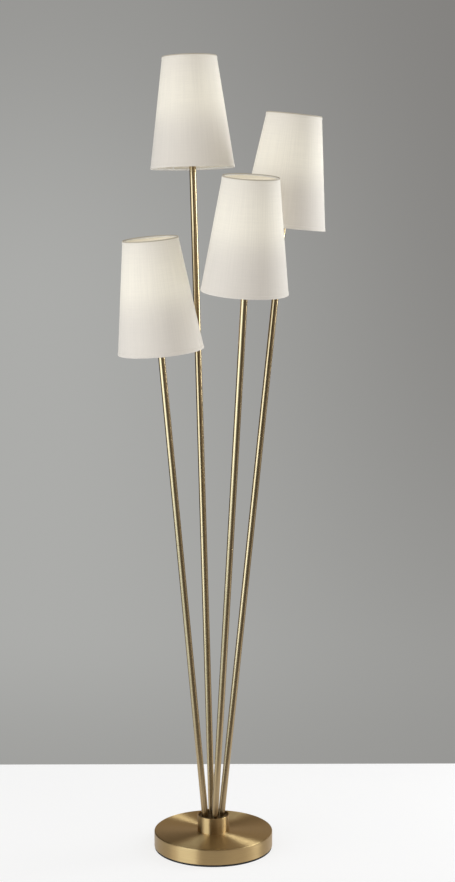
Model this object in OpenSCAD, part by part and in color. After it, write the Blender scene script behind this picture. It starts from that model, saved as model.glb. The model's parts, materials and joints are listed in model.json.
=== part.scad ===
// Floor lamp with four leaning rods on one round base, each rod with its own fabric shade.
// The origin is at the centre of the base, on the floor. +Z is up and +Y is the back.
// All sizes are in millimetres and all angles in degrees.

/* [Base] */
// Diameter of the metal base
base_d = 254; // [220:1:300]
// Height of the metal base cover, without the pad under it
base_h = 33.2; // [32:0.1:44]
// Sheet thickness of the base cover
cover_t = 1.2; // [0.8:0.1:1.6]
// Outer rounding of the cover's top edge
cover_edge_r = 2.5; // [1.8:0.1:4]
// Thickness of the pad that stands on the floor
pad_t = 4.6; // [2:0.1:6]
// How far the pad's edge lies inside the cover's edge
pad_inset = 1; // [0.5:0.5:5]
// Thickness of the plate that closes the base from below
plate_t = 1.5; // [1:0.5:2]
// Thickness of the iron disc inside the base
weight_t = 22; // [14:1:22]
// Width of the rim on which the iron disc stands
weight_rim_w = 12; // [10:1:20]
// Play between the iron disc and the inside of the cover
weight_gap = 1; // [0.5:0.1:2]
// Number of screws that hold the plate to the iron disc
screw_count = 3; // [3:1:6]
// Shank diameter of a plate screw
screw_d = 4; // [3:0.5:5]
// How deep a plate screw reaches into the iron disc
screw_depth = 7; // [5:0.5:8]

/* [Cord inlet] */
// Bore of the inlet bush at the back of the base
inlet_d = 6.6; // [5:0.2:7]
// Height of the bush's axis above the underside of the metal base
inlet_z = 7.5; // [7:0.5:9]
// Wall of the bush where it passes the cover
bush_wall = 1.3; // [1:0.1:1.6]
// How far the bush's outer flange stands out beyond its body
bush_lip_w = 1.8; // [1:0.1:1.8]
// Thickness of the bush's outer flange
bush_lip_t = 1.6; // [1:0.1:2.5]
// How far the bush's inner catch stands out beyond its body
bush_catch_w = 0.9; // [0.5:0.1:1.2]
// Length of the bush's inner catch
bush_catch_t = 2; // [1:0.5:3]

/* [Hub] */
// Diameter of the hub cup
hub_d = 68; // [64:1:80]
// Height of the hub cup above the base
hub_h = 34.7; // [33:0.1:45]
// Wall thickness of the hub cup
hub_wall = 1.6; // [1:0.1:2.2]
// Depth of the open recess at the hub's top
hub_recess = 4; // [2:0.5:6]
// Thickness of the hub block's solid top, which holds the rods
block_t = 16; // [15:0.5:18]
// Wall of the hub block's skirt round the wiring space
block_skirt_w = 4; // [3:0.5:5]
// Diameter of the hub block's middle boss
boss_d = 18; // [15:0.5:19]
// Depth of the seat that takes each rod's foot, below the hub block's top
seat_depth = 10; // [8:0.5:11]
// Width of the window in the boss, through which the cord comes out
boss_window_w = 8; // [7:0.5:9]
// Distance of the rods' axes from the lamp's axis, at the height of the hub's rim
socket_r = 18; // [17:0.1:19]
// Direction of rod A's socket from the lamp's axis. The others follow clockwise, a quarter turn apart
socket_turn = 101; // [90:0.5:112]

/* [Rods] */
// Outer diameter of the rods
rod_d = 14.2; // [14:0.1:14.8]
// Wall thickness of the rods
rod_wall = 1.95; // [1.8:0.05:1.95]
// Length of each rod's lower section above the hub's rim
lower_len = 600; // [400:10:800]
// Length of the joiner inside each rod
joiner_len = 40; // [24:2:60]
// Chamfer on each side of the seam between a rod's sections
seam_chamfer = 0.25; // [0.1:0.05:0.4]
// Length of rod A from the hub's rim to the lower edge of its shade
stalk_a = 1378; // [1340:1:1440]
// Length of rod B from the hub's rim to the lower edge of its shade
stalk_b = 1262; // [1230:1:1300]
// Length of rod C from the hub's rim to the lower edge of its shade
stalk_c = 1137; // [1100:1:1180]
// Length of rod D from the hub's rim to the lower edge of its shade
stalk_d = 1010; // [960:1:1060]
// Lean of rod A from the vertical
lean_a = 3.4; // [3:0.1:6]
// Lean of rod B from the vertical
lean_b = 5.8; // [5:0.1:7]
// Lean of rod C from the vertical
lean_c = 6.1; // [5:0.1:7]
// Lean of rod D from the vertical
lean_d = 5.7; // [5:0.1:7]
// Direction in which rod A leans, anticlockwise from +X seen from above
azimuth_a = 118; // [98:0.5:125]
// Direction in which rod B leans
azimuth_b = 6; // [2:0.5:14]
// Direction in which rod C leans
azimuth_c = -60; // [-75:0.5:-58]
// Direction in which rod D leans
azimuth_d = -152; // [-165:0.5:-145]

/* [Wiring] */
// Diameter of the flex inside each rod
flex_d = 5; // [4:0.2:5.4]
// How far the flex and its threaded tube hang below the hub block's top
flex_tail = 2; // [1:0.5:2.5]
// Diameter of a flex's stripped tail
tail_d = 2.4; // [1.6:0.2:3]
// Diameter of a splice sleeve
sleeve_d = 7; // [5:0.5:8]
// Length of a splice sleeve
sleeve_len = 14; // [10:1:16]
// Distance of the splice sleeves from the hub block's skirt
sleeve_gap = 3; // [1:0.5:4]

/* [Threaded tubes] */
// Outer diameter of the threaded tubes
thread_d = 10; // [9.6:0.1:10]
// Bore of the threaded tubes
thread_bore = 7; // [6:0.1:7.4]
// Play round a threaded tube in its hole
thread_play = 0.05; // [0.03:0.01:0.1]
// How far a threaded tube reaches into a rod
rod_grip = 20; // [14:1:30]
// How far a threaded tube reaches into a lamp holder
holder_grip = 10; // [8:1:12]
// Width across the flats of the clamping nut
nut_flats = 17; // [15:0.5:19]
// Thickness of the clamping nut
nut_t = 4.5; // [3:0.5:4.5]
// Thickness of the washer above the clamping nut
washer_t = 1.5; // [1:0.1:1.5]
// Diameter of the washer above the clamping nut
washer_d = 28; // [22:1:36]

/* [Shades] */
// Outer diameter of a shade at its top
shade_top_d = 114; // [104:1:124]
// Outer diameter of a shade at its bottom
shade_bottom_d = 177; // [165:1:185]
// Height of a shade along its axis
shade_h = 232; // [215:1:245]
// Thickness of a shade's lined fabric
shade_t = 1; // [0.8:0.1:1.4]
// Height of the self-trim band along each edge of a shade
trim_w = 7; // [5:0.5:10]
// How far the trim band stands out from the fabric
trim_t = 0.5; // [0.3:0.1:0.8]
// Diameter of the steel wire in the rings
wire_d = 3; // [2.8:0.1:4]
// Diameter of the steel wire in the arms
arm_wire_d = 2.4; // [2:0.1:2.5]
// How deep the arms' ends are welded into the collar
weld_depth = 0.3; // [0.2:0.05:0.4]
// Number of arms between a shade's collar and its bottom ring
arm_count = 3; // [3:1:4]
// Thickness of the collar that sits on the lamp holder
collar_t = 1.5; // [1:0.1:2]
// Outer diameter of the collar
collar_d = 54; // [50:1:60]
// Play between the collar and what it turns on
collar_play = 0.3; // [0.2:0.05:0.5]

/* [Lamp holders] */
// How far a rod reaches up inside its shade
rod_reach = 34; // [24:1:44]
// Outer diameter of the brass cup under a lamp holder
husk_d = 42; // [41:0.5:45]
// Height of the brass cup
husk_h = 28; // [26:1:34]
// Sheet thickness of the brass cup
husk_t = 1.2; // [0.8:0.1:1.4]
// Height of the brass cup's tapered lower part
husk_taper_h = 9; // [8:0.5:11]
// Diameter of the lamp holder's threaded barrel
holder_d = 39; // [38.5:0.1:39.5]
// Diameter of the lamp holder's flange
flange_d = 46; // [44:0.5:50]
// Thickness of the lamp holder's flange
flange_t = 3; // [2:0.5:4]
// Depth of the bulb's socket below the flange's top
socket_depth = 4; // [2:0.5:8]
// How much of a bulb's cap shows above the threaded barrel
cap_show = 1; // [0.5:0.5:3]
// Play between the lamp holder and the brass cup
holder_gap = 0.5; // [0.3:0.1:0.6]
// Height of the ring nut
ring_nut_h = 8; // [6:0.5:12]
// Outer diameter of the ring nut above its flange
ring_nut_d = 45; // [44:0.5:48]
// Thickness of the ring nut's flange
ring_nut_lip_t = 2; // [1:0.5:3]

// Diameter of the contact disc at the bottom of a socket
contact_d = 13; // [10:0.5:16]
// Thickness of the contact disc
contact_t = 1; // [0.6:0.1:1.5]
// Diameter of the contact's raised middle
contact_pin_d = 5; // [4:0.5:7]
// Height of the contact's raised middle above the bottom of the socket
contact_h = 4; // [3:0.5:6]

/* [Bulbs] */
// Diameter of a bulb's glass
bulb_d = 60; // [50:1:66]
// Length of a bulb with its cap
bulb_len = 108; // [100:1:120]
// Wall thickness of a bulb's glass
glass_t = 0.8; // [0.6:0.1:1.2]
// Diameter of a bulb's screw cap
cap_d = 26; // [25.6:0.1:26.2]
// Length of a bulb's cap with its tip
cap_len = 30; // [28:1:32]
// Diameter of the cap's tip
cap_tip_d = 9; // [7:0.5:11]
// Height of the cap's tip
cap_tip_h = 2; // [1:0.5:3]
// Height of the cone between the tip and the cap's screw
cap_cone_h = 5; // [4:0.5:7]
// How far the glass neck lies inside the cap's edge
neck_inset = 0.5; // [0.3:0.1:1]
// Thickness of the brass screw shell round the cap
shell_t = 0.4; // [0.3:0.1:0.5]
// Play between the cap and its screw shell
cap_gap = 0.4; // [0.3:0.05:0.5]
// How far the screw shell stays below the top of the barrel
shell_drop = 2; // [1:0.5:4]

/* [Hidden] */
$fn = 96;
EPS = 0.01;
// Overlap by which a cutting shape passes the face that it cuts
CUT = 1;
// Largest gap left between pieces that are seated on each other but turn or slide
SEAT = 0.15;

ARMS = ["a", "b", "c", "d"];
ARM_PIECES = ["rod_lower", "rod_upper", "holder_husk", "lamp_holder", "ring_nut", "bulb_cap",
              "bulb_glass", "shade", "shade_top_ring", "shade_fitter"];

// Colours
BRASS = [0.68, 0.54, 0.33];
BRASS_DARK = [0.45, 0.35, 0.2];
STEEL = [0.7, 0.7, 0.7];
IRON = [0.25, 0.25, 0.26];
BLACK = [0.06, 0.06, 0.06];
LINEN = [0.93, 0.9, 0.83];
GLASS = [0.96, 0.95, 0.9];
PHENOLIC = [0.12, 0.1, 0.09];
FLEX = [0.85, 0.75, 0.45];

// Per-arm values, in the order of ARMS
stalk = [stalk_a, stalk_b, stalk_c, stalk_d];
lean = [lean_a, lean_b, lean_c, lean_d];
azimuth = [azimuth_a, azimuth_b, azimuth_c, azimuth_d];
function socket_azimuth(i) = socket_turn - 90 * i;
// Direction of each shade's first wire arm, on its own axis
arm_turn = [for (i = [0:3]) -azimuth[i]];

// Heights in the base, from the floor up
cover_z = pad_t;
base_top = cover_z + base_h;
cover_r = base_d / 2;
cover_in_r = cover_r - cover_t;
plate_top = cover_z + plate_t;
weight_top = base_top - cover_t;
weight_under = weight_top - weight_t;
weight_r = cover_in_r - weight_gap;
plate_r = cover_in_r - SEAT;
screw_pcd_r = weight_r - weight_rim_w / 2;
screw_head_d = screw_d + 2 * plate_t;
thread_hole_d = thread_d + 2 * thread_play;

// Cord inlet at the back
inlet_axis_z = cover_z + inlet_z;
bush_d = inlet_d + 2 * bush_wall;
bush_lip_d = bush_d + 2 * bush_lip_w;
bush_catch_d = bush_d + 2 * bush_catch_w;
// The catch lies just inside the cover's curved wall
bush_catch_y = sqrt(pow(cover_in_r, 2) - pow(bush_catch_d / 2, 2)) - SEAT;
bush_end_y = bush_catch_y - bush_catch_t;
bush_len = cover_r + bush_lip_t - bush_end_y;
notch_w = bush_catch_d + 2 * weight_gap;

// Hub
hub_r = hub_d / 2;
hub_top = base_top + hub_h;
hub_floor_top = base_top + hub_wall;
block_r = hub_r - hub_wall - SEAT;
block_top = hub_top - hub_recess;
block_under = block_top - block_t;
tube_top = (hub_floor_top + block_under) / 2;
washer_z = weight_under - washer_t;
clamp_nut_z = washer_z - nut_t;
tube_foot = (clamp_nut_z + plate_top) / 2;

// Splice sleeves: each serves two neighbouring rods
sleeve_r = block_r - block_skirt_w - sleeve_gap - sleeve_d / 2;
sleeve_z = hub_floor_top + sleeve_d / 2;
function sleeve_azimuth(i) = socket_azimuth(i < 2 ? 0.5 : 2.5);

// Along each rod, from the hub's rim. Depths below it are negative
seat_at = -(hub_recess + seat_depth);
rod_in_d = rod_d - 2 * rod_wall;
rod_hole_d = rod_d + 2 * thread_play;
foot_tube_low = -(hub_recess + block_t + flex_tail);
foot_tube_high = seat_at + rod_grip;
flex_foot = foot_tube_low - flex_tail;

// Along each rod, from the shade's lower edge
husk_at = rod_reach;
husk_floor = husk_at + husk_t;
flange_at = husk_at + husk_h;
flange_top = flange_at + flange_t;
socket_floor = flange_top - socket_depth;
socket_d = cap_d + 2 * cap_gap + 2 * shell_t + 2 * thread_play;
head_tube_low = husk_at - rod_grip;
head_tube_high = husk_floor + holder_grip;
collar_at = flange_top + SEAT;
ring_nut_at = collar_at + collar_t + SEAT;
collar_bore_d = holder_d + 2 * collar_play;
cap_at = socket_floor + contact_h;
glass_at = cap_at + cap_len;
barrel_top = glass_at - cap_show;
bulb_centre = cap_at + bulb_len - bulb_d / 2;
neck_r = cap_d / 2 - neck_inset;

// Shade
shade_top_r = shade_top_d / 2;
shade_bottom_r = shade_bottom_d / 2;
shade_slope = (shade_bottom_r - shade_top_r) / shade_h;
function shade_r(t) = shade_bottom_r - shade_slope * t;
wire_rr = wire_d / 2;
// A ring lies against the fabric's inside, one wire radius in from the edge
ring_gap = 0.2;
function ring_r(t) = shade_r(t) - shade_t - wire_rr - ring_gap;
bottom_ring_t = wire_d;
top_ring_t = shade_h - wire_d;
collar_r = collar_d / 2;

// Places its children on the axis of arm i, at the given distance above the hub's rim
module on_rod(i, at = 0) {
    translate([socket_r * cos(socket_azimuth(i)), socket_r * sin(socket_azimuth(i)), hub_top])
        rotate([0, lean[i], azimuth[i]]) translate([0, 0, at]) children();
}

// Places its children on the axis of arm i, at the given distance above the shade's lower edge
module in_shade(i, at = 0) {
    on_rod(i, stalk[i] + at) children();
}

// A round tube that stands on z = 0
module tube(d, bore, h) {
    difference() {
        cylinder(d = d, h = h);
        translate([0, 0, -CUT]) cylinder(d = bore, h = h + 2 * CUT);
    }
}

// A straight round bar from one point to another
module bar(from, to, r) {
    v = to - from;
    len = norm(v);
    translate(from) rotate([0, acos(v[2] / len), atan2(v[1], v[0])]) cylinder(r = r, h = len);
}

// Disc of rubber that stands on the floor
module base_pad() {
    edge = pad_t / 8;
    r = cover_r - pad_inset;
    color(BLACK) rotate_extrude()
        polygon([[0, 0], [r - edge, 0], [r, edge], [r, pad_t - edge], [r - edge, pad_t], [0, pad_t]]);
}

// Places its children at each plate screw
module at_screws() {
    for (k = [0:screw_count - 1])
        rotate(30 + k * 360 / screw_count) translate([screw_pcd_r, 0, 0]) children();
}

// Steel plate that closes the base, with countersunk screw holes
module base_plate() {
    color(STEEL) difference() {
        translate([0, 0, cover_z]) cylinder(r = plate_r, h = plate_t);
        at_screws() {
            translate([0, 0, cover_z - EPS])
                cylinder(d1 = screw_head_d + 2 * SEAT + 2 * EPS, d2 = screw_d + 2 * SEAT,
                         h = plate_t + EPS);
            translate([0, 0, cover_z]) cylinder(d = screw_d + 2 * SEAT, h = plate_t + CUT);
        }
    }
}

// Countersunk screws from the plate into the iron disc's rim
module plate_screws() {
    color(STEEL) at_screws() {
        translate([0, 0, cover_z]) cylinder(d1 = screw_head_d, d2 = screw_d, h = plate_t);
        translate([0, 0, plate_top]) cylinder(d = screw_d, h = screw_depth);
    }
}

// Cast iron disc on a rim, with a notch at the back for the cord
module base_weight() {
    rim_r = weight_r - weight_rim_w;
    hole_r = thread_d / 2 + weight_gap;
    color(IRON) difference() {
        rotate_extrude()
            polygon([[hole_r, weight_under], [rim_r, weight_under], [rim_r, plate_top],
                     [weight_r, plate_top], [weight_r, weight_top - cover_edge_r],
                     [weight_r - cover_edge_r, weight_top], [hole_r, weight_top]]);
        at_screws() translate([0, 0, plate_top - CUT])
            cylinder(d = screw_d + 2 * thread_play, h = screw_depth + 2 * CUT);
        translate([-notch_w / 2, rim_r - weight_gap, plate_top - CUT])
            cube([notch_w, weight_rim_w + 3 * weight_gap,
                  inlet_axis_z + notch_w / 2 - plate_top + CUT]);
    }
}

// Half section of the spun cover: a closed shape of radius r and height h with a rounded corner
module rounded_half(r, h, edge) {
    square([r - edge, h]);
    square([r, h - edge]);
    translate([r - edge, h - edge]) circle(r = edge);
}

// Spun brass cover of the base
module base_cover() {
    color(BRASS) difference() {
        translate([0, 0, cover_z]) rotate_extrude() difference() {
            rounded_half(cover_r, base_h, cover_edge_r);
            translate([-EPS, -CUT])
                rounded_half(cover_in_r + EPS, base_h - cover_t + CUT, cover_edge_r - cover_t);
        }
        cylinder(d = thread_hole_d, h = base_top + CUT);
        translate([0, cover_r - CUT - cover_t - bush_catch_t, inlet_axis_z]) rotate([-90, 0, 0])
            cylinder(d = bush_d + 2 * thread_play, h = cover_t + bush_catch_t + 3 * CUT);
    }
}

// Plastic bush that lines the cord hole at the back
module cord_bush() {
    color(BLACK) translate([0, bush_end_y, inlet_axis_z]) rotate([-90, 0, 0]) difference() {
        union() {
            cylinder(d = bush_d, h = bush_len);
            cylinder(d1 = bush_d + 2 * EPS, d2 = bush_catch_d, h = bush_catch_t);
            translate([0, 0, bush_len - bush_lip_t]) cylinder(d = bush_lip_d, h = bush_lip_t);
        }
        translate([0, 0, -CUT]) cylinder(d = inlet_d, h = bush_len + 2 * CUT);
    }
}

// Hexagon nut on the foot of the centre tube
module clamp_nut() {
    color(STEEL) translate([0, 0, clamp_nut_z]) difference() {
        cylinder(d = nut_flats / cos(30), h = nut_t, $fn = 6);
        translate([0, 0, -CUT]) cylinder(d = thread_hole_d, h = nut_t + 2 * CUT);
    }
}

// Washer between the nut and the iron disc
module clamp_washer() {
    color(STEEL) translate([0, 0, washer_z]) tube(washer_d, thread_hole_d, washer_t);
}

// Threaded tube that draws the hub block, cup, cover and iron disc together
module centre_tube() {
    color(STEEL) translate([0, 0, tube_foot]) tube(thread_d, thread_bore, tube_top - tube_foot);
}

// Turned brass cup that is the visible hub
module hub_cup() {
    edge = hub_wall / 4;
    color(BRASS) translate([0, 0, base_top]) rotate_extrude()
        polygon([[thread_hole_d / 2, 0], [hub_r, 0], [hub_r, hub_h - edge],
                 [hub_r - edge, hub_h], [hub_r - hub_wall + edge, hub_h],
                 [hub_r - hub_wall, hub_h - edge], [hub_r - hub_wall, hub_wall],
                 [thread_hole_d / 2, hub_wall]]);
}

// Cast block inside the cup: a solid top with four leaning sockets, a skirt, and a middle boss
// with a window above the centre tube
module hub_block() {
    color(BRASS_DARK) difference() {
        translate([0, 0, hub_floor_top]) cylinder(r = block_r, h = block_top - hub_floor_top);
        difference() {
            translate([0, 0, hub_floor_top - CUT])
                cylinder(r = block_r - block_skirt_w, h = block_under - hub_floor_top + CUT);
            difference() {
                translate([0, 0, hub_floor_top - 2 * CUT])
                    cylinder(d = boss_d, h = block_under - hub_floor_top + 3 * CUT);
                translate([-boss_d, -boss_window_w / 2, tube_top])
                    cube([2 * boss_d, boss_window_w, block_under - tube_top]);
            }
        }
        translate([0, 0, hub_floor_top - CUT])
            cylinder(d = thread_hole_d, h = block_under - hub_floor_top + 2 * CUT);
        // Turning by 45 degrees keeps the round cuts' seams off the far ends of their rims
        for (i = [0:3]) on_rod(i) rotate(45) {
            translate([0, 0, seat_at]) cylinder(d = rod_hole_d, h = hub_h);
            translate([0, 0, seat_at - block_t]) cylinder(d = thread_hole_d, h = block_t + CUT);
        }
    }
}

// Threaded tubes that hold the rods' feet in the hub block
module rod_foot_tubes() {
    color(STEEL) for (i = [0:3])
        on_rod(i, foot_tube_low) tube(thread_d, thread_bore, foot_tube_high - foot_tube_low);
}

// Lower section of a rod: a tube with a fine chamfer at the seam
module rod_lower(i) {
    color(BRASS) on_rod(i) rotate_extrude()
        polygon([[rod_in_d / 2, seat_at], [rod_d / 2, seat_at],
                 [rod_d / 2, lower_len - seam_chamfer], [rod_d / 2 - seam_chamfer, lower_len],
                 [rod_in_d / 2, lower_len]]);
}

// Plain joiners inside the rods, half in each section
module rod_joiners() {
    color(STEEL) for (i = [0:3]) on_rod(i, lower_len - joiner_len / 2)
        tube(rod_in_d - 2 * thread_play, thread_bore, joiner_len);
}

// Upper section of a rod, up to the brass cup under the lamp holder
module rod_upper(i) {
    top = stalk[i] + rod_reach;
    color(BRASS) on_rod(i) rotate_extrude()
        polygon([[rod_in_d / 2, lower_len], [rod_d / 2 - seam_chamfer, lower_len],
                 [rod_d / 2, lower_len + seam_chamfer], [rod_d / 2, top], [rod_in_d / 2, top]]);
}

// Threaded tubes that hold the cups and lamp holders on the rods' heads
module rod_head_tubes() {
    color(STEEL) for (i = [0:3])
        in_shade(i, head_tube_low) tube(thread_d, thread_bore, head_tube_high - head_tube_low);
}

// Two-core flex inside each rod, with a tail that ends at a splice sleeve in the hub
module wiring() {
    color(FLEX) for (i = [0:3]) {
        out = [sin(lean[i]) * cos(azimuth[i]), sin(lean[i]) * sin(azimuth[i]), cos(lean[i])];
        turn = socket_azimuth(i);
        rim = [socket_r * cos(turn), socket_r * sin(turn), hub_top];
        mid = sleeve_azimuth(i);
        side = i % 2 == 0 ? 1 : -1;
        sleeve_end = sleeve_r * [cos(mid), sin(mid)]
            + side * (sleeve_len / 2 + tail_d / 2 + SEAT) * [-sin(mid), cos(mid)];
        on_rod(i, flex_foot) cylinder(d = flex_d, h = stalk[i] + socket_floor - flex_foot);
        bar(rim + (flex_foot + flex_tail) * out, [sleeve_end[0], sleeve_end[1], sleeve_z], tail_d / 2);
    }
}

// Crimped sleeves that join the flexes in pairs inside the hub
module splice_sleeves() {
    color(PHENOLIC) for (i = [0, 2]) rotate(sleeve_azimuth(i))
        translate([sleeve_r, sleeve_len / 2, sleeve_z]) rotate([90, 0, 0])
            cylinder(d = sleeve_d, h = sleeve_len);
}

// Spun brass cup under a lamp holder
module holder_husk(i) {
    foot_r = rod_d / 2 + husk_t;
    color(BRASS) in_shade(i, husk_at) rotate_extrude()
        polygon([[thread_hole_d / 2, 0], [foot_r, 0], [husk_d / 2, husk_taper_h],
                 [husk_d / 2, husk_h], [husk_d / 2 - husk_t, husk_h],
                 [husk_d / 2 - husk_t, husk_taper_h + husk_t / 2],
                 [foot_r - husk_t / 2, husk_t], [thread_hole_d / 2, husk_t]]);
}

// Moulded lamp holder: a spigot in the cup, a flange on its rim and a threaded barrel above
module lamp_holder(i) {
    spigot_r = rod_d / 2;
    body_r = husk_d / 2 - husk_t - holder_gap;
    body_at = husk_at + husk_taper_h + husk_t;
    color(PHENOLIC) in_shade(i) difference() {
        union() {
            translate([0, 0, husk_floor]) cylinder(r = spigot_r, h = body_at - husk_floor + CUT);
            translate([0, 0, body_at]) cylinder(r = body_r, h = flange_at - body_at + CUT);
            translate([0, 0, flange_at]) cylinder(d = flange_d, h = flange_t);
            translate([0, 0, flange_at]) cylinder(d = holder_d, h = barrel_top - flange_at);
        }
        translate([0, 0, husk_floor - CUT])
            cylinder(d = thread_hole_d, h = head_tube_high - husk_floor + CUT);
        translate([0, 0, husk_floor])
            cylinder(d = flex_d + 4 * thread_play, h = socket_floor - husk_floor + CUT);
        translate([0, 0, socket_floor]) cylinder(d = socket_d, h = barrel_top - socket_floor + CUT);
    }
}

// Thin brass screw shells that line the sockets
module screw_shells() {
    shell_d = socket_d - 2 * thread_play;
    color(BRASS) for (i = [0:3]) in_shade(i, socket_floor)
        tube(shell_d, shell_d - 2 * shell_t, barrel_top - socket_floor - shell_drop);
}

// Brass tongues at the bottom of the sockets, which touch the bulbs' tips
module centre_contacts() {
    color(BRASS) for (i = [0:3]) in_shade(i, socket_floor) {
        cylinder(d = contact_d, h = contact_t);
        cylinder(d = contact_pin_d, h = contact_h);
    }
}

// Ring nut that traps the shade's collar on the lamp holder
module ring_nut(i) {
    color(PHENOLIC) in_shade(i, ring_nut_at) difference() {
        union() {
            cylinder(d = collar_d, h = ring_nut_lip_t);
            cylinder(d = ring_nut_d, h = ring_nut_h);
        }
        translate([0, 0, -CUT]) cylinder(d = holder_d + 4 * thread_play, h = ring_nut_h + 2 * CUT);
    }
}

// Screw cap of a bulb: a tip, an insulating cone and the screw shell
module bulb_cap(i) {
    screw_at = cap_tip_h + cap_cone_h;
    color(BRASS) in_shade(i, cap_at) rotate_extrude()
        polygon([[0, 0], [cap_tip_d / 2 - cap_tip_h / 2, 0], [cap_tip_d / 2, cap_tip_h / 2],
                 [cap_tip_d / 2, cap_tip_h], [cap_d / 2 - neck_inset, screw_at],
                 [cap_d / 2, screw_at + neck_inset], [cap_d / 2, cap_len - neck_inset],
                 [neck_r, cap_len], [0, cap_len]]);
}

// A bulb's form on z = 0: a ball of radius r on a cone that touches it
module bulb_form(r, neck) {
    centre = bulb_centre - glass_at;
    turn = acos(r / norm([neck, centre])) - atan2(centre, neck);
    translate([0, 0, centre]) sphere(r = r);
    cylinder(r1 = neck, r2 = r * cos(turn), h = centre + r * sin(turn));
}

// Glass envelope of a bulb, open at the neck
module bulb_glass(i) {
    color(GLASS) in_shade(i, glass_at) difference() {
        bulb_form(bulb_d / 2, neck_r);
        translate([0, 0, -EPS]) bulb_form(bulb_d / 2 - glass_t, neck_r - glass_t);
    }
}

// Tapered drum of lined linen with a folded band along each edge
module shade(i) {
    function edge(t) = shade_r(t) + trim_t;
    color(LINEN) in_shade(i) rotate_extrude()
        polygon([[edge(0), 0], [edge(trim_w), trim_w], [shade_r(trim_w + trim_t), trim_w + trim_t],
                 [shade_r(shade_h - trim_w - trim_t), shade_h - trim_w - trim_t],
                 [edge(shade_h - trim_w), shade_h - trim_w], [edge(shade_h), shade_h],
                 [shade_r(shade_h) - shade_t, shade_h], [shade_r(0) - shade_t, 0]]);
}

// A ring of wire of mean radius r, centred on z = 0
module wire_ring(r) {
    rotate_extrude() translate([r, 0]) circle(r = wire_rr, $fn = 32);
}

// Wire ring inside a shade's top edge
module shade_top_ring(i) {
    color(STEEL) in_shade(i, top_ring_t) wire_ring(ring_r(top_ring_t));
}

// Collar, wire arms and bottom ring, welded together, which carry a shade
module shade_fitter(i) {
    arm_r = arm_wire_d / 2;
    ring = ring_r(bottom_ring_t);
    // The arms' ends lie flat under the collar, clear of the lamp holder's flange
    weld_z = collar_at - arm_r + weld_depth;
    inner = [flange_d / 2 + collar_play + arm_r, 0, weld_z];
    bend = [collar_r + wire_d, 0, weld_z];
    color(STEEL) in_shade(i) {
        translate([0, 0, collar_at]) tube(collar_d, collar_bore_d, collar_t);
        translate([0, 0, bottom_ring_t]) wire_ring(ring);
        for (k = [0:arm_count - 1]) rotate(arm_turn[i] + k * 360 / arm_count) {
            bar(inner, bend, arm_r);
            translate(bend) sphere(r = arm_r + weld_depth);
            bar(bend, [ring, 0, bottom_ring_t], arm_r);
        }
    }
}

base_pad();
base_plate();
plate_screws();
base_weight();
base_cover();
cord_bush();
clamp_nut();
clamp_washer();
centre_tube();
hub_cup();
hub_block();
rod_foot_tubes();
rod_joiners();
rod_head_tubes();
wiring();
splice_sleeves();
screw_shells();
centre_contacts();
for (i = [0:3]) {
    rod_lower(i);
    rod_upper(i);
    holder_husk(i);
    lamp_holder(i);
    ring_nut(i);
    bulb_cap(i);
    bulb_glass(i);
    shade(i);
    shade_top_ring(i);
    shade_fitter(i);
}
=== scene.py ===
import json
import math

import bmesh
import bpy
from mathutils import Matrix, Vector


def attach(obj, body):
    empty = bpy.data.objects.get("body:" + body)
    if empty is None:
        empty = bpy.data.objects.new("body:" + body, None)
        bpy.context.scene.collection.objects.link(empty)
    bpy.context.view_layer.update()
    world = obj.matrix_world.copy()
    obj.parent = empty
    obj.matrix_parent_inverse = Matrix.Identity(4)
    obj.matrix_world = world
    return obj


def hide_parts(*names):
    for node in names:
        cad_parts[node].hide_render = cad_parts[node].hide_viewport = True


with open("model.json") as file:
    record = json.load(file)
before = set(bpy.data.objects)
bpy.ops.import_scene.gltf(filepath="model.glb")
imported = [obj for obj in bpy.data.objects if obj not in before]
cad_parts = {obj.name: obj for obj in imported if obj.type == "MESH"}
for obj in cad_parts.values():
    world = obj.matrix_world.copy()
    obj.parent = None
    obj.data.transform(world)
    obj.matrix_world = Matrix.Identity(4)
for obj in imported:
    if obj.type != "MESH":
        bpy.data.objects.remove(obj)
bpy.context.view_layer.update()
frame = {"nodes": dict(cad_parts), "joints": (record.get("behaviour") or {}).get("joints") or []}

# Camera: stands 4 m in front of the lamp, level with its upper shades, and looks slightly down
# through a long lens.
camera_distance = 4.0208
camera_height = 1.4768
camera_tilt = math.radians(81.609)
camera_turn = math.radians(-0.435)

lens_data = bpy.data.cameras.new("camera")
lens_data.lens = 79.297
lens_data.sensor_width = 36
camera = bpy.data.objects.new("camera", lens_data)
camera.location = (0, -camera_distance, camera_height)
camera.rotation_euler = (camera_tilt, 0, camera_turn)
bpy.context.scene.collection.objects.link(camera)
bpy.context.scene.camera = camera


# Studio floor: a matt white board. It shows as near white to the camera and keeps the lamp's
# soft shadow. In the brass it is white near the lamp, with painted shade towards the camera and a
# painted pool of light on the left, where the window would light it.
def add(tree, kind, inputs=None, **settings):
    """A new node with its settings, and its inputs given as values or as sockets to link."""
    node = tree.nodes.new(kind)
    for name, value in settings.items():
        setattr(node, name, value)
    for name, value in (inputs or {}).items():
        if isinstance(value, bpy.types.NodeSocket):
            tree.links.new(value, node.inputs[name])
        else:
            node.inputs[name].default_value = value
    return node


def maths(tree, operation, *values):
    """The result of a Math node."""
    return add(tree, "ShaderNodeMath", dict(enumerate(values)), operation=operation).outputs[0]


def between(tree, share, first, second):
    """A colour between two colours."""
    return add(tree, "ShaderNodeMix", {0: share, 6: first, 7: second},
               data_type="RGBA").outputs[2]


def spread(tree, value, low, high, to_low=0.0, to_high=1.0):
    """A value stretched smoothly from one range to another, and held at its ends."""
    return add(tree, "ShaderNodeMapRange", {0: value, 1: low, 2: high, 3: to_low, 4: to_high},
               interpolation_type="SMOOTHSTEP").outputs[0]


def fade(tree, value, low, high, amount=1.0):
    """Falls smoothly from an amount, at low, to nothing, at high."""
    return spread(tree, value, low, high, amount, 0.0)


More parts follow.
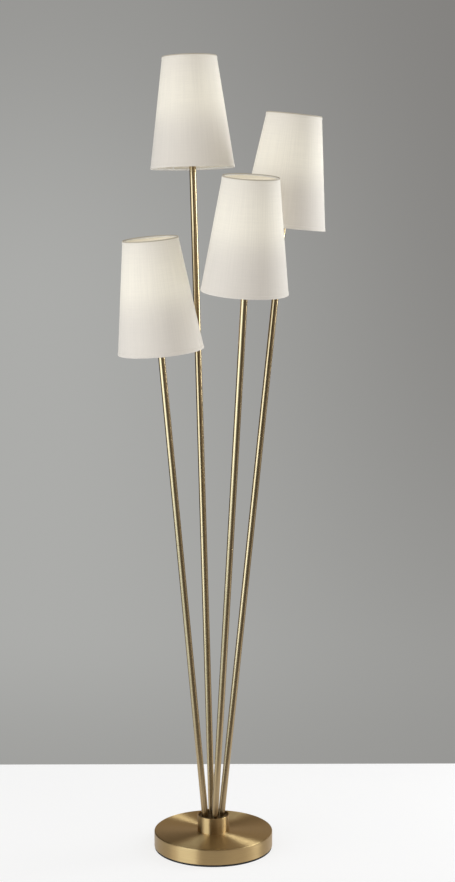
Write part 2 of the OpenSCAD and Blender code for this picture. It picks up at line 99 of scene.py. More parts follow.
def object_place(tree):
    """The place on the lamp or in the room, in metres."""
    return add(tree, "ShaderNodeTexCoord").outputs["Object"]


def axes(tree, place):
    """The x, y and z of a place."""
    return add(tree, "ShaderNodeSeparateXYZ", {0: place}).outputs


def is_mirrored(tree):
    """1 where the brass mirrors the surface, and 0 where it is seen or gives light."""
    return add(tree, "ShaderNodeLightPath").outputs["Is Glossy Ray"]


def blank_material(name):
    """A material with an empty node tree, and that tree."""
    material = bpy.data.materials.new(name)
    material.use_nodes = True
    material.node_tree.nodes.clear()
    return material, material.node_tree


def finish_with(tree, shader):
    """Joins a shader to the material's output."""
    add(tree, "ShaderNodeOutputMaterial", {"Surface": shader.outputs[0]})


def seen_directly(tree):
    """1 for rays that show the surface, straight or in a reflection, and 0 for rays that light."""
    rays = add(tree, "ShaderNodeLightPath").outputs
    shown = maths(tree, "MAXIMUM", rays["Is Camera Ray"], rays["Is Glossy Ray"])
    return maths(tree, "MAXIMUM", shown, rays["Is Transmission Ray"])


def new_piece(name, mesh, material):
    """The object made from a finished bmesh, with one material."""
    data = bpy.data.meshes.new(name)
    mesh.to_mesh(data)
    mesh.free()
    data.materials.append(material)
    piece = bpy.data.objects.new(name, data)
    bpy.context.scene.collection.objects.link(piece)
    return piece


floor_half = 7.0
floor_own = (0.9, 0.91, 0.92, 1)
floor_shown = (1.0, 1.0, 1.0, 1)
floor_strength = 1.02
floor_unlit = (0.04, 0.035, 0.03, 1)
floor_unlit_x = (-0.5, -0.3)
floor_unlit_y = (-0.46, -0.26)
floor_sunlit = (1.2, 1.6, 1.9, 1)
floor_sunlit_x = (-0.9, -0.3)
floor_sunlit_y = (0.0, 0.3)
floor_shadow_share = 0.27

white_board, tree = blank_material("white board")
lit = add(tree, "ShaderNodeBsdfPrincipled",
          {"Base Color": floor_own, "Roughness": 0.8, "Specular IOR Level": 0.1})
along = axes(tree, object_place(tree))
# Painted light and shade seen only in the brass: a pool of light to the left, shade towards the
# camera.
sunlit = maths(tree, "MULTIPLY", fade(tree, along["X"], *floor_sunlit_x),
               fade(tree, along["Y"], *floor_sunlit_y))
unlit = maths(tree, "MULTIPLY", fade(tree, along["Y"], *floor_unlit_y),
              spread(tree, along["X"], *floor_unlit_x))
mirrored = between(tree, sunlit, floor_shown, floor_sunlit)
mirrored = between(tree, unlit, mirrored, floor_unlit)
tone = between(tree, is_mirrored(tree), floor_shown, mirrored)
shown = add(tree, "ShaderNodeEmission", {"Color": tone, "Strength": floor_strength})
share = maths(tree, "MULTIPLY", seen_directly(tree), 1 - floor_shadow_share)
mixed = add(tree, "ShaderNodeMixShader", {0: share, 1: lit.outputs[0], 2: shown.outputs[0]})
finish_with(tree, mixed)
white_board.cycles.emission_sampling = "NONE"

mesh = bmesh.new()
bmesh.ops.create_grid(mesh, x_segments=1, y_segments=1, size=floor_half)
new_piece("floor", mesh, white_board)

# Studio wall: a grey painted wall close behind the lamp. It is darker at its top, its right and
# its foot, which is painted shade. From behind it can be seen through, so that it doesn't hide the
# lamp's back in other views. In the brass it shows a darker, warmer tone, and only its middle is
# lit: its sides there are painted shade.
wall_y = 0.57
wall_half = 3.0
wall_grey = (0.413, 0.415, 0.402, 1)
wall_shaded_grey = (0.2, 0.193, 0.184, 1)
wall_in_metal = (0.39, 0.33, 0.245, 1)
wall_right_x = (-0.45, 0.8)
wall_right_z = (-0.5, 1.4)
wall_right_dimming = (0.2, 0.82)
wall_top_z = (1.1, 1.95)
wall_top_dimming = 0.48
wall_foot_z = (-0.05, 0.35)
wall_foot_dimming = 0.28
metal_left_x = (-0.4, -0.2)
metal_left_dimming = 0.93
metal_right_x = (0.8, 1.0)
metal_right_dimming = 0.75

grey_paint, tree = blank_material("grey paint")
along = axes(tree, object_place(tree))
# Painted shade: the wall darkens towards its right, its top and its foot.
rightward = maths(tree, "MULTIPLY", spread(tree, along["X"], *wall_right_x),
                  spread(tree, along["Z"], *wall_right_z, *wall_right_dimming))
upward = spread(tree, along["Z"], *wall_top_z, 0.0, wall_top_dimming)
downward = fade(tree, along["Z"], *wall_foot_z, wall_foot_dimming)
wall_lit_share = maths(tree, "SUBTRACT", 1.0, rightward)
for dimming in (upward, downward):
    wall_lit_share = maths(tree, "MULTIPLY", wall_lit_share, maths(tree, "SUBTRACT", 1.0, dimming))
# Painted shade seen only in the brass, at the wall's left and right.
side_shade_in_metal = maths(tree, "ADD", fade(tree, along["X"], *metal_left_x, metal_left_dimming),
               spread(tree, along["X"], *metal_right_x, 0.0, metal_right_dimming))
in_metal = is_mirrored(tree)
light = maths(tree, "SUBTRACT", 1.0, maths(tree, "MULTIPLY", side_shade_in_metal, in_metal))
paint = between(tree, in_metal, between(tree, wall_lit_share, wall_shaded_grey, wall_grey), wall_in_metal)
glow = add(tree, "ShaderNodeEmission", {"Color": paint, "Strength": light})
clear = add(tree, "ShaderNodeBsdfTransparent")
behind = add(tree, "ShaderNodeNewGeometry").outputs["Backfacing"]
sided = add(tree, "ShaderNodeMixShader", {0: behind, 1: glow.outputs[0], 2: clear.outputs[0]})
finish_with(tree, sided)
grey_paint.cycles.emission_sampling = "NONE"

mesh = bmesh.new()
bmesh.ops.create_grid(mesh, x_segments=1, y_segments=1, size=wall_half)
bmesh.ops.transform(mesh, verts=mesh.verts, matrix=Matrix.Translation((0, wall_y, wall_half))
                    @ Matrix.Rotation(math.pi / 2, 4, "X"))
new_piece("wall", mesh, grey_paint)

# Studio air: even light from all round. In the metal the room is dark on the camera's side, at
# the left and overhead, which is what draws the deep brown stripes down the brass.
air_light = (0.635, 0.605, 0.575, 1)
room_right = (0.53, 0.5, 0.46, 1)
room_left = (0.12, 0.115, 0.11, 1)
room_front = (0.045, 0.035, 0.025, 1)
room_left_to_right = (-0.5, 0.1)
room_front_to_side = (-0.97, -0.76)
room_overhead = (0.3, 0.8)
room_overhead_dimming = 0.65
air_shown = (0.72, 0.72, 0.72, 1)

air = bpy.data.worlds.new("studio air")
bpy.context.scene.world = air
air.use_nodes = True
tree = air.node_tree
tree.nodes.clear()
heading = add(tree, "ShaderNodeTexCoord").outputs["Generated"]
towards = axes(tree, heading)
overhead = spread(tree, towards["Z"], *room_overhead, 0.0, room_overhead_dimming)
room = between(tree, spread(tree, towards["X"], *room_left_to_right), room_left, room_right)
room = between(tree, fade(tree, towards["Y"], *room_front_to_side), room, room_front)
room = between(tree, overhead, room, room_front)
rays = add(tree, "ShaderNodeLightPath").outputs
lighting = between(tree, rays["Is Glossy Ray"], air_light, room)
tone = between(tree, rays["Is Camera Ray"], lighting, air_shown)
backdrop = add(tree, "ShaderNodeBackground", {"Color": tone, "Strength": 1.0})
add(tree, "ShaderNodeOutputWorld", {"Surface": backdrop.outputs[0]})


# Studio lamps: a wide window to the left of the camera, and a narrow one on the right, a little
# behind the lamp, which lights the shades' right edges. The two sheens are strips of light that
# only the metal shows, as the bright lines down the rods.
watts_per_radiance = 4


def window(name, azimuth, distance, height, width, tall, radiance, colour, in_metal=True,
           on_cloth=True):
    """A rectangular lamp that faces the object's axis. Azimuth 0 is the camera's side."""
    data = bpy.data.lights.new(name, "AREA")
    data.shape = "RECTANGLE"
    data.size, data.size_y = width, tall
    data.energy = radiance * watts_per_radiance * width * tall
    data.color = colour
    lamp = bpy.data.objects.new(name, data)
    turn = math.radians(azimuth)
    lamp.location = (distance * math.sin(turn), -distance * math.cos(turn), height)
    lamp.rotation_euler = (math.pi / 2, 0, turn)
    lamp.visible_camera = False
    lamp.visible_diffuse = on_cloth
    lamp.visible_glossy = in_metal
    bpy.context.scene.collection.objects.link(lamp)


window("left window", azimuth=-58, distance=2.5, height=1.3, width=2.9, tall=2.6,
       radiance=0.95, colour=(0.98, 1.0, 1.02))
window("left sheen", azimuth=-52, distance=2.45, height=1.3, width=1.75, tall=2.5,
       radiance=1.5, colour=(0.77, 1.0, 1.2), on_cloth=False)
window("right window", azimuth=109, distance=1.3, height=1.2, width=0.6, tall=2.3,
       radiance=3.5, colour=(0.99, 1.0, 1.01), in_metal=False)
window("right sheen", azimuth=105, distance=1.5, height=1.6, width=0.34, tall=1.2,
       radiance=14.0, colour=(0.88, 1.0, 1.08), on_cloth=False)

# Base pad: a disc of black foamed rubber glued under the base, which keeps the metal off the
# floor. Its edge shows as a thin black line.
def dress(material, *names):
    """Gives CAD nodes, which keep their own shape, a finished material."""
    for name in names:
        for holder in frame["nodes"][name].material_slots:
            holder.material = material


def rubbed(tree, place, scale, low=0.0, high=1.0):
    """Cloudy values from low to high, as on a surface that is handled or cast."""
    cloud = add(tree, "ShaderNodeTexNoise",
                {"Vector": place, "Scale": scale, "Detail": 4.0, "Roughness": 0.6})
    return spread(tree, cloud.outputs[0], 0.3, 0.7, low, high)


def surface(tree, colour, roughness, height, depth, **fixed):
    """The shader of a surface whose colour, roughness and bump vary, with fixed values for
    other sockets."""
    bump = add(tree, "ShaderNodeBump", {"Strength": 0.6, "Distance": depth, "Height": height})
    inputs = {"Base Color": colour, "Roughness": roughness, "Normal": bump.outputs[0]}
    inputs.update({name.replace("_", " "): value for name, value in fixed.items()})
    shader = add(tree, "ShaderNodeBsdfPrincipled", inputs)
    finish_with(tree, shader)
    return shader


def cast_material(name, dark, light, roughness, grain, depth, metallic=0.0, rub=0.06):
    """A plain material of one stuff, with clouded colour and a fine, even grain."""
    material, tree = blank_material(name)
    place = object_place(tree)
    colour = between(tree, rubbed(tree, place, 40.0), dark, light)
    grains = add(tree, "ShaderNodeTexNoise", {"Vector": place, "Scale": grain, "Detail": 3.0})
    surface(tree, colour, rubbed(tree, place, 70.0, roughness - rub, roughness + rub),
            grains.outputs[0], depth, Metallic=metallic)
    return material


rubber = cast_material("foamed rubber", dark=(0.008, 0.008, 0.008, 1), light=(0.02, 0.02, 0.02, 1),
                       roughness=0.85, grain=1400.0, depth=0.0003)
dress(rubber, "base_pad")

# Inside of the base: a cast iron disc that keeps the lamp upright, on a zinc-plated steel plate
# that closes the base and is held by countersunk screws.
cast_iron = cast_material("cast iron", dark=(0.05, 0.05, 0.052, 1), light=(0.11, 0.105, 0.1, 1),
                          roughness=0.6, grain=500.0, depth=0.0006, metallic=0.7)
zinc_steel = cast_material("zinc-plated steel", dark=(0.5, 0.5, 0.49, 1),
                           light=(0.62, 0.62, 0.6, 1), roughness=0.36, grain=900.0,
                           depth=0.0001, metallic=1.0)
dress(cast_iron, "base_weight")
dress(zinc_steel, "base_plate", "plate_screws", "clamp_nut", "clamp_washer", "centre_tube")

# Base cover: brass sheet spun to a shallow dish, with a rounded edge, then brushed on a turning
# table, so that its lines run round the middle, and lacquered.
line_share = 0.65
line_roughening = 0.07
cloud_share = 0.35
cloud_roughening = 0.05


def brushed_metal():
    """A node group: the colour, roughness and normal of metal brushed along fine lines. Lines
    is a place stretched along the lines, and Turn a fourth way to move through the pattern."""
    tree = bpy.data.node_groups.new("brushed metal", "ShaderNodeTree")
    for name, kind, way in (("Lines", "Vector", "INPUT"), ("Turn", "Float", "INPUT"),
                            ("Place", "Vector", "INPUT"), ("Light", "Color", "INPUT"),
                            ("Deep", "Color", "INPUT"), ("Polish", "Float", "INPUT"),
                            ("Depth", "Float", "INPUT"), ("Color", "Color", "OUTPUT"),
                            ("Roughness", "Float", "OUTPUT"), ("Normal", "Vector", "OUTPUT")):
        tree.interface.new_socket(name, in_out=way, socket_type="NodeSocket" + kind)
    given = tree.nodes.new("NodeGroupInput").outputs
    lines = add(tree, "ShaderNodeTexNoise",
                {"Vector": given["Lines"], "W": given["Turn"], "Scale": 1.0, "Detail": 3.0,
                 "Roughness": 0.65}, noise_dimensions="4D").outputs[0]
    cloud = rubbed(tree, given["Place"], 9.0)
    line_tone = spread(tree, lines, 0.25, 0.75)
    tone = maths(tree, "MULTIPLY_ADD", line_tone, line_share,
                 maths(tree, "MULTIPLY", cloud, cloud_share))
    rough = maths(tree, "MULTIPLY_ADD", line_tone, line_roughening,
                  maths(tree, "MULTIPLY_ADD", cloud, cloud_roughening, given["Polish"]))
    bump = add(tree, "ShaderNodeBump",
               {"Strength": 0.5, "Distance": given["Depth"], "Height": lines})
    add(tree, "NodeGroupOutput", {"Color": between(tree, tone, given["Deep"], given["Light"]),
                                  "Roughness": rough, "Normal": bump.outputs[0]})
    return tree


brushing = brushed_metal()


def brass(name, lines_and_turn, light, deep, polish, depth, anisotropy=0.0, axis=None,
          location=(0, 0, 0), rotation=(0, 0, 0)):
    """Brushed and lacquered brass, with its lines running round an axis, or round the lamp's own
    axis where none is given. A Mapping node puts the pattern in the piece's own frame."""
    material, tree = blank_material(name)
    place = add(tree, "ShaderNodeMapping",
                {"Vector": object_place(tree), "Location": location,
                 "Rotation": rotation}).outputs[0]
    lines, turn = lines_and_turn(tree, place)
    brushed = add(tree, "ShaderNodeGroup", node_tree=brushing)
    for socket, value in (("Lines", lines), ("Turn", turn), ("Place", place), ("Light", light),
                          ("Deep", deep), ("Polish", polish), ("Depth", depth)):
        if isinstance(value, bpy.types.NodeSocket):
            tree.links.new(value, brushed.inputs[socket])
        else:
            brushed.inputs[socket].default_value = value
    inputs = {"Base Color": brushed.outputs["Color"], "Roughness": brushed.outputs["Roughness"],
              "Normal": brushed.outputs["Normal"], "Metallic": 1.0, "Coat Weight": 0.08,
              "Coat Roughness": 0.12}
    if axis:
        along = add(tree, "ShaderNodeCombineXYZ", dict(enumerate(axis)))
        inputs.update({"Anisotropic": anisotropy, "Tangent": along.outputs[0]})
    elif anisotropy:
        around = add(tree, "ShaderNodeTangent", direction_type="RADIAL", axis="Z")
        inputs.update({"Anisotropic": anisotropy, "Anisotropic Rotation": 0.25,
                       "Tangent": around.outputs[0]})
    finish_with(tree, add(tree, "ShaderNodeBsdfPrincipled", inputs))
    return material


def round_lines(fineness, arc):
    """Lines that run round the piece's axis: fine across and long along each ring."""
    def lines(tree, place):
        at = axes(tree, place)
        radius = add(tree, "ShaderNodeVectorMath",
                     {0: add(tree, "ShaderNodeCombineXYZ", {0: at["X"], 1: at["Y"]}).outputs[0]},
                     operation="LENGTH").outputs["Value"]
        vector = add(tree, "ShaderNodeCombineXYZ", {
            0: maths(tree, "MULTIPLY", radius, fineness),
            1: maths(tree, "MULTIPLY", at["Z"], fineness),
            2: maths(tree, "MULTIPLY", maths(tree, "DIVIDE", at["X"], radius), arc)}).outputs[0]
        return vector, maths(tree, "MULTIPLY", maths(tree, "DIVIDE", at["Y"], radius), arc)
    return lines


base_brass = brass("base brass", round_lines(fineness=1100.0, arc=2.4),
                   light=(0.6, 0.425, 0.205, 1), deep=(0.48, 0.325, 0.15, 1),
                   polish=0.34, depth=0.00002, anisotropy=1.0)
dress(base_brass, "base_cover")

# Cord bush: a moulded ring of black plastic that snaps into the hole at the back of the base, so
# that a lead can't rub on the metal's edge.
black_plastic = cast_material("black plastic", dark=(0.014, 0.014, 0.014, 1),
                              light=(0.028, 0.028, 0.028, 1), roughness=0.45, grain=1500.0,
                              depth=0.0001)
dress(black_plastic, "cord_bush")

# Hub: a turned brass cup, brushed round like the base. In it sits a cast brass block, whose four
# leaning sockets take the rods. The block is coloured a very dark brass, which is painted shade
# for the recess it sits in.
hub_brass = brass("hub brass", round_lines(fineness=1300.0, arc=1.6),
                  light=(0.68, 0.48, 0.235, 1), deep=(0.56, 0.38, 0.175, 1),
                  polish=0.34, depth=0.00002, anisotropy=1.0)
# The block's very dark brass colour is painted shade for the recess it sits in.
recess_shade_brass = brass("dark cast brass", round_lines(fineness=350.0, arc=9.0),
                   light=(0.17, 0.115, 0.055, 1), deep=(0.09, 0.06, 0.03, 1),
                   polish=0.42, depth=0.0001)
dress(hub_brass, "hub_cup")
dress(recess_shade_brass, "hub_block")

# Each rod's own frame: z runs up the rod from its shade's lower edge, and x points down the
# way that it leans. The joint that the shade turns on, in the middle of its collar, gives both.
collar_middle = 0.0659
arms = {}
for joint in frame["joints"]:
    axis = Vector(joint["axis"]).normalized()
    foot = Vector(joint["pos_m"]) - collar_middle * axis
    arms[joint["child"][-1]] = (Matrix.Translation(foot)
                                @ Matrix.Rotation(math.atan2(axis.y, axis.x), 4, "Z")
                                @ Matrix.Rotation(math.acos(axis.z), 4, "Y"))

# Rods and cups: drawn brass tube in two lengths, brushed round on a lathe, with a spun brass cup
# on top of each that carries the lamp holder. Threaded steel tubes and joiners hold them inside.
rod_line_stretch = (60.0, 60.0, 1500.0)


def ring_lines(tree, place):
    """Fine lines that run round the rod."""
    stretched = add(tree, "ShaderNodeVectorMath", {0: place, 1: rod_line_stretch},
                    operation="MULTIPLY").outputs[0]
    return stretched, 0.0


for arm, seat in arms.items():
    back = seat.inverted()
    rod_brass = brass(f"rod brass {arm}", ring_lines, light=(0.44, 0.33, 0.19, 1),
                      deep=(0.355, 0.26, 0.14, 1), polish=0.13, depth=0.000001,
                      anisotropy=0.9, axis=seat.col[2].xyz,
                      location=back.to_translation(), rotation=back.to_euler("XYZ"))
    dress(rod_brass, f"rod_lower_{arm}", f"rod_upper_{arm}", f"holder_husk_{arm}")
dress(zinc_steel, "rod_foot_tubes", "rod_joiners", "rod_head_tubes")


# Wiring: flex in a braided gold cover, which runs up inside each rod, and crimped sleeves that
# join the flexes in the hub.
def braided_flex(dark, light, beat):
    """Two sets of threads that cross each other round the flex."""
    material, tree = blank_material("braided flex")
    place = object_place(tree)
    at = axes(tree, place)
    across = maths(tree, "MULTIPLY", maths(tree, "ADD", at["X"], at["Y"]), beat)
    up = maths(tree, "MULTIPLY", at["Z"], beat)
    right = maths(tree, "SINE", maths(tree, "ADD", up, across))
    left = maths(tree, "SINE", maths(tree, "SUBTRACT", up, across))
    braid = maths(tree, "MULTIPLY_ADD", maths(tree, "MULTIPLY", right, left), 0.5, 0.5)
    surface(tree, between(tree, braid, dark, light), rubbed(tree, place, 120.0, 0.55, 0.75),
            braid, 0.0002)
    return material


gold_flex = braided_flex(dark=(0.36, 0.25, 0.1, 1), light=(0.66, 0.5, 0.22, 1), beat=2600.0)
dress(gold_flex, "wiring")
dress(black_plastic, "splice_sleeves")

# Lamp holders: black moulded resin with a threaded barrel. A thin brass screw shell and a brass
# contact line the socket.
black_resin = cast_material("black resin", dark=(0.012, 0.011, 0.01, 1),
                            light=(0.024, 0.021, 0.019, 1), roughness=0.3, grain=700.0,
                            depth=0.00005)
bright_brass = cast_material("stamped brass", dark=(0.6, 0.43, 0.19, 1),
                             light=(0.72, 0.54, 0.27, 1), roughness=0.24, grain=600.0,
                             depth=0.00005, metallic=1.0)
dress(black_resin, *(f"lamp_holder_{arm}" for arm in arms))
dress(bright_brass, "screw_shells", "centre_contacts")


# Ring nuts: moulded nuts of black resin, with ribs to grip by. They are screwed down on the
# shades' collars and hold them on the lamp holders.
def soft_shaded(mesh, sharp_degrees=35):
    """Smooth shading that breaks at the corners."""
    for face in mesh.faces:
        face.smooth = True
    for edge in mesh.edges:
        if edge.is_manifold and edge.calc_face_angle() > math.radians(sharp_degrees):
            edge.smooth = False


def spun(profile, steps):
    """A closed profile of (radius, height) points, spun once round z."""
    mesh = bmesh.new()
    corners = [mesh.verts.new((radius, 0, height)) for radius, height in profile]
    for first, second in zip(corners, corners[1:] + corners[:1]):
        mesh.edges.new((first, second))
    bmesh.ops.spin(mesh, geom=mesh.verts[:] + mesh.edges[:], cent=(0, 0, 0), axis=(0, 0, 1),
                   angle=2 * math.pi, steps=steps, use_merge=True)
    bmesh.ops.remove_doubles(mesh, verts=mesh.verts, dist=1e-6)
    bmesh.ops.recalc_face_normals(mesh, faces=mesh.faces)
    return mesh


nut_foot = 0.0668
nut_bore = 0.0196
nut_flange = 0.027
nut_rib = 0.0225
nut_groove = 0.0218
nut_lip = 0.002
nut_height = 0.008
nut_ribs = 48
nut_edge = 0.0004

for arm, seat in arms.items():
    mesh = spun([(nut_bore, 0), (nut_flange, 0), (nut_flange, nut_lip - nut_edge),
                 (nut_flange - nut_edge, nut_lip), (nut_rib, nut_lip),
                 (nut_rib, nut_height - nut_edge), (nut_rib - 2 * nut_edge, nut_height),
                 (nut_bore, nut_height)], 2 * nut_ribs)
    for vertex in mesh.verts:
        if math.isclose(vertex.co.xy.length, nut_rib, abs_tol=1e-5):
            half_step = round(math.atan2(vertex.co.y, vertex.co.x) / (math.pi / nut_ribs))
            if half_step % 2:
                vertex.co.xy *= nut_groove / nut_rib
    soft_shaded(mesh, sharp_degrees=20)
    bmesh.ops.transform(mesh, verts=mesh.verts, matrix=seat @ Matrix.Translation((0, 0, nut_foot)))
    nut = new_piece(f"ribbed_nut_{arm}", mesh, black_resin)
    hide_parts(f"ring_nut_{arm}")
    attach(nut, "stand")


# Bulbs: a round glass envelope, frosted inside, which is lit, on a nickel-plated screw cap that
# turns into the lamp holder.
glass_dark = (0.86, 0.84, 0.8, 1)
glass_light = (0.92, 0.9, 0.86, 1)
glass_glow_warm = (1.0, 0.86, 0.62, 1)
glass_glow_white = (1.0, 0.92, 0.74, 1)


def frosted_glass(name):
    """White frosted glass that glows evenly, with a faint cloud in its frosting."""
    material, tree = blank_material(name)
    place = object_place(tree)
    frost = add(tree, "ShaderNodeTexNoise", {"Vector": place, "Scale": 900.0}).outputs[0]
    warmth = rubbed(tree, place, 45.0)
    shader = surface(tree, between(tree, warmth, glass_dark, glass_light),
                     rubbed(tree, place, 60.0, 0.3, 0.42), frost, 0.00003,
                     Emission_Strength=1.0)
    tree.links.new(between(tree, warmth, glass_glow_warm, glass_glow_white),
                   shader.inputs["Emission Color"])
    return material


nickel = cast_material("nickel", dark=(0.5, 0.48, 0.44, 1), light=(0.64, 0.62, 0.57, 1),
                       roughness=0.3, grain=600.0, depth=0.00006, metallic=1.0)
dress(nickel, *(f"bulb_cap_{arm}" for arm in arms))
dress(frosted_glass("lit frosted glass"), *(f"bulb_glass_{arm}" for arm in arms))

# Shade frames: a ring of steel wire at the shade's top, and a flat collar with wire arms down to
# a ring at its foot, all dipped in white paint.
white_wire = cast_material("white painted wire", dark=(0.74, 0.73, 0.7, 1),
                           light=(0.82, 0.81, 0.78, 1), roughness=0.4, grain=800.0,
                           depth=0.00005)
dress(white_wire, *(f"{piece}_{arm}" for arm in arms
                    for piece in ("shade_fitter", "shade_top_ring")))

# Shades: off-white linen laminated on a white liner, rolled to a cone and lapped at the back.
# A band of the same linen is folded over each edge.
shade_height = 0.232
shade_foot_radius = 0.0885
shade_top_radius = 0.057
linen_thick = 0.0005
liner_thick = 0.0005
cloth_gap = 0.00002
clear_of_fold = 0.0007
band_height = 0.007
band_out = 0.0005
band_lift = 0.00003
band_fold = 0.0013
band_inner = -0.00104
fold_floor = 0.0006
seam_width = 0.009
seam_out = 0.0004
seam_clear_of_band = 0.0002
shade_steps = 144
shade_rows = 24
mean_radius = (shade_foot_radius + shade_top_radius) / 2
bulb_middle = 0.143
thread_pitch = 0.0011
thread_depth = 0.0002
ring_dim_from = 0.003
ring_dim_full = 0.0015
linen_dark = (0.76, 0.728, 0.672, 1)
linen_light = (0.802, 0.766, 0.706, 1)
linen_reach = (0.05, 0.095)
no_glow = (0.0, 0.0, 0.0, 1)


def shade_radius(height):
    """Outer radius of the linen at a height above the shade's lower edge."""
    share = height / shade_height
    return shade_foot_radius + (shade_top_radius - shade_foot_radius) * share


def lay_out(mesh):
    """UVs in metres: u round the shade at its mean radius, and v up its axis."""
    layer = mesh.loops.layers.uv.new("cloth")
    for face in mesh.faces:
        middle = face.calc_center_median()
        turn = math.atan2(middle.y, middle.x)
        for loop in face.loops:
            x, y, height = loop.vert.co
            step = math.remainder(math.atan2(y, x) - turn, 2 * math.pi)
            loop[layer].uv = ((turn + step) * mean_radius, height)


def shell(inner, outer):
    """A cone-shaped wall between two depths inside the linen's outer face."""
    low, high = clear_of_fold, shade_height - clear_of_fold
    heights = [low + (high - low) * row / shade_rows for row in range(shade_rows + 1)]
    profile = [(shade_radius(height) - outer, height) for height in heights]
    profile += [(shade_radius(height) - inner, height) for height in reversed(heights)]
    return spun(profile, shade_steps)


def band(top):
    """A strip of linen folded over one edge of the shade. Its outline runs from its raw edge
    outside, round the fold to its short lip inside, and back round the edge that it holds."""
    outline = [(band_lift, band_height), (band_out * 0.8, band_height - 0.0003),
               (band_out, band_height - 0.0009), (band_out, 0.0035), (band_out, 0.0009),
               (band_out * 0.5, 0.0002), (-0.0005, 0.0), (-0.0012, 0.0002), (-0.00145, 0.0008),
               (-0.0014, band_fold), (band_inner, band_fold), (band_inner, fold_floor),
               (band_lift, fold_floor)]
    profile = []
    for out, rise in outline:
        height = shade_height - rise if top else rise
        profile.append((shade_radius(height) + out, height))
    return spun(profile, shade_steps)


def lap_seam(turn):
    """The lapped edge of the linen: a low strip up the back of the shade."""
    mesh = bmesh.new()
    bmesh.ops.create_grid(mesh, x_segments=6, y_segments=shade_rows, size=0.5)
    low = band_height + seam_clear_of_band
    high = shade_height - band_height - seam_clear_of_band
    for vertex in mesh.verts:
        height = low + (high - low) * (vertex.co.y + 0.5)
        out = seam_out * (1 - (2 * vertex.co.x) ** 6) + cloth_gap
        radius = shade_radius(height) + out
        angle = turn + vertex.co.x * seam_width / radius
        vertex.co = (radius * math.cos(angle), radius * math.sin(angle), height)
    return mesh


def linen_weave():
    """A node group: plain linen weave from UVs in metres, with thicker threads here and there."""
    tree = bpy.data.node_groups.new("linen weave", "ShaderNodeTree")
    for name, kind, way in (("Cloth", "Vector", "INPUT"), ("Pitch", "Float", "INPUT"),
                            ("Slub", "Float", "OUTPUT"), ("Height", "Float", "OUTPUT")):
        tree.interface.new_socket(name, in_out=way, socket_type="NodeSocket" + kind)
    given = tree.nodes.new("NodeGroupInput").outputs
    at = axes(tree, given["Cloth"])
    beat = maths(tree, "DIVIDE", math.pi, given["Pitch"])
    warp = maths(tree, "SINE", maths(tree, "MULTIPLY", at["X"], beat))
    weft = maths(tree, "SINE", maths(tree, "MULTIPLY", at["Y"], beat))
    woven = maths(tree, "MULTIPLY_ADD", maths(tree, "MULTIPLY", warp, weft), 0.5, 0.5)
    streaks = []
    for stretch in ((420.0, 9.0, 0.0), (14.0, 520.0, 3.0)):
        laid = add(tree, "ShaderNodeVectorMath", {0: given["Cloth"], 1: stretch},
                   operation="MULTIPLY").outputs[0]
        noise = add(tree, "ShaderNodeTexNoise", {"Vector": laid, "Scale": 1.0, "Detail": 2.0})
        streaks.append(spread(tree, noise.outputs[0], 0.25, 0.75))
    slub = maths(tree, "MULTIPLY_ADD", streaks[0], 0.6, maths(tree, "MULTIPLY", streaks[1], 0.4))
    height = maths(tree, "MULTIPLY_ADD", woven, 0.5, maths(tree, "MULTIPLY", slub, 0.5))
    add(tree, "NodeGroupOutput", {"Slub": slub, "Height": height})
    return tree


def bulb_glow():
    """A node group: how strongly the bulb's light comes through at a height up the shade."""
    tree = bpy.data.node_groups.new("bulb glow", "ShaderNodeTree")
    for name, way in (("Height", "INPUT"), ("Middle", "INPUT"), ("Reach Down", "INPUT"),
                      ("Reach Up", "INPUT"), ("Glow", "OUTPUT")):
        tree.interface.new_socket(name, in_out=way, socket_type="NodeSocketFloat")
    given = tree.nodes.new("NodeGroupInput").outputs
    off = maths(tree, "SUBTRACT", given["Height"], given["Middle"])
    below = maths(tree, "DIVIDE", maths(tree, "MINIMUM", off, 0.0), given["Reach Down"])
    above = maths(tree, "DIVIDE", maths(tree, "MAXIMUM", off, 0.0), given["Reach Up"])
    off = maths(tree, "ADD", below, above)
    fall = maths(tree, "MULTIPLY", maths(tree, "MULTIPLY", off, off), -1.0)
    add(tree, "NodeGroupOutput", {"Glow": maths(tree, "EXPONENT", fall)})
    return tree


weave_group = linen_weave()
glow_group = bulb_glow()


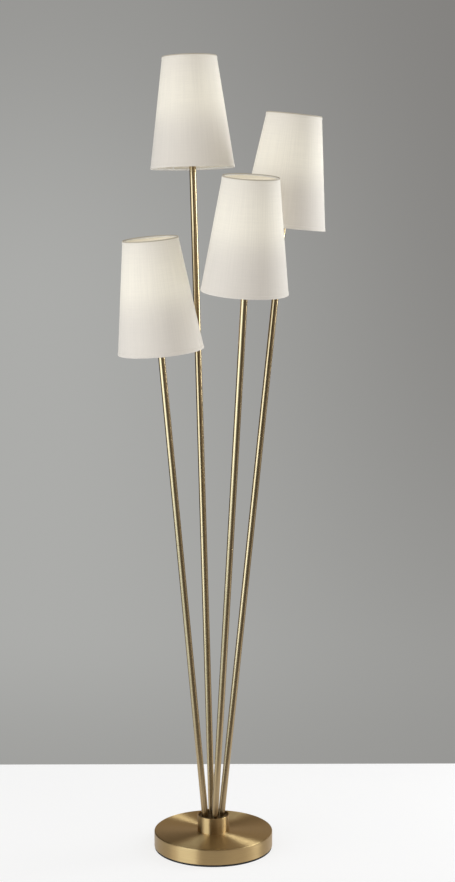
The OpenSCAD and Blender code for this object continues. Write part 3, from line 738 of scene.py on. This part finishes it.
def shade_cloth(name, dark, light, glow_colour, glow_at_rest, reach, depth, roughness,
                fold=None):
    """Woven cloth with the bulb's light coming through it, painted on as a glow. A fold is a
    darker colour painted along the shade's top edge as painted shade, where the wire ring behind
    the cloth keeps the light back, and the glow is cut there too."""
    material, tree = blank_material(name)
    cloth = add(tree, "ShaderNodeUVMap", uv_map="cloth").outputs[0]
    woven = add(tree, "ShaderNodeGroup", node_tree=weave_group)
    tree.links.new(cloth, woven.inputs["Cloth"])
    woven.inputs["Pitch"].default_value = thread_pitch
    glow = add(tree, "ShaderNodeGroup", node_tree=glow_group)
    height = axes(tree, cloth)["Y"]
    tree.links.new(height, glow.inputs["Height"])
    glow.inputs["Middle"].default_value = bulb_middle
    glow.inputs["Reach Down"].default_value, glow.inputs["Reach Up"].default_value = reach
    slub = woven.outputs["Slub"]
    # The bulb's light through the cloth is painted on as a glow, strongest at the bulb's height.
    through = maths(tree, "MULTIPLY", glow.outputs["Glow"],
                    spread(tree, slub, 0.2, 0.8, 0.9, 1.05))
    colour = between(tree, slub, dark, light)
    # Painted shade: along the top edge the colour darkens to the fold colour and the glow is cut.
    if fold:
        folded = spread(tree, height, shade_height - ring_dim_from, shade_height - ring_dim_full)
        through = maths(tree, "MULTIPLY", through, maths(tree, "SUBTRACT", 1.0, folded))
        colour = between(tree, folded, colour, fold)
    shader = surface(tree, colour,
                     spread(tree, slub, 0.0, 1.0, roughness, roughness + 0.08),
                     woven.outputs["Height"], depth, Sheen_Weight=0.15, Sheen_Roughness=0.6,
                     Specular_IOR_Level=0.2, Emission_Strength=1.0)
    tree.links.new(between(tree, through, glow_at_rest, glow_colour),
                   shader.inputs["Emission Color"])
    material.cycles.emission_sampling = "NONE"
    return material


linen = shade_cloth("linen", linen_dark, linen_light, glow_colour=(0.168, 0.163, 0.118, 1),
                    glow_at_rest=no_glow, reach=linen_reach, depth=thread_depth, roughness=0.82)
# The band's fold colour, a dark tan along the top edge, is painted shade from the wire ring.
band_linen = shade_cloth("band linen", linen_dark, linen_light,
                         glow_colour=(0.145, 0.14, 0.1, 1), glow_at_rest=no_glow,
                         reach=linen_reach, depth=thread_depth, roughness=0.82,
                         fold=(0.5, 0.455, 0.37, 1))
# The liner's glow is painted light: the bulb's light on the inside of the shade, with a faint glow
# everywhere.
liner_white = shade_cloth("white liner", (0.74, 0.71, 0.65, 1), (0.8, 0.77, 0.71, 1),
                          glow_colour=(0.28, 0.268, 0.22, 1),
                          glow_at_rest=(0.05, 0.046, 0.038, 1), reach=(0.07, 0.07),
                          depth=0.00004, roughness=0.5)

for arm, seat in arms.items():
    body = f"shade_{arm}"
    axis_heading = math.atan2(seat[1][2], seat[0][2])
    parts = {
        f"linen_{arm}": (shell(linen_thick, 0.0), linen),
        f"liner_{arm}": (shell(linen_thick + liner_thick, linen_thick + cloth_gap), liner_white),
        f"foot_band_{arm}": (band(top=False), band_linen),
        f"top_band_{arm}": (band(top=True), band_linen),
        f"seam_{arm}": (lap_seam(math.pi / 2 - axis_heading), linen),
    }
    pieces = []
    for name, (mesh, material) in parts.items():
        lay_out(mesh)
        soft_shaded(mesh)
        bmesh.ops.transform(mesh, verts=mesh.verts, matrix=seat)
        piece = new_piece(name, mesh, material)
        pieces.append(piece)
    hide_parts(f"shade_{arm}")
    for piece in pieces:
        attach(piece, body)

bpy.context.scene.view_settings.view_transform = "Standard"
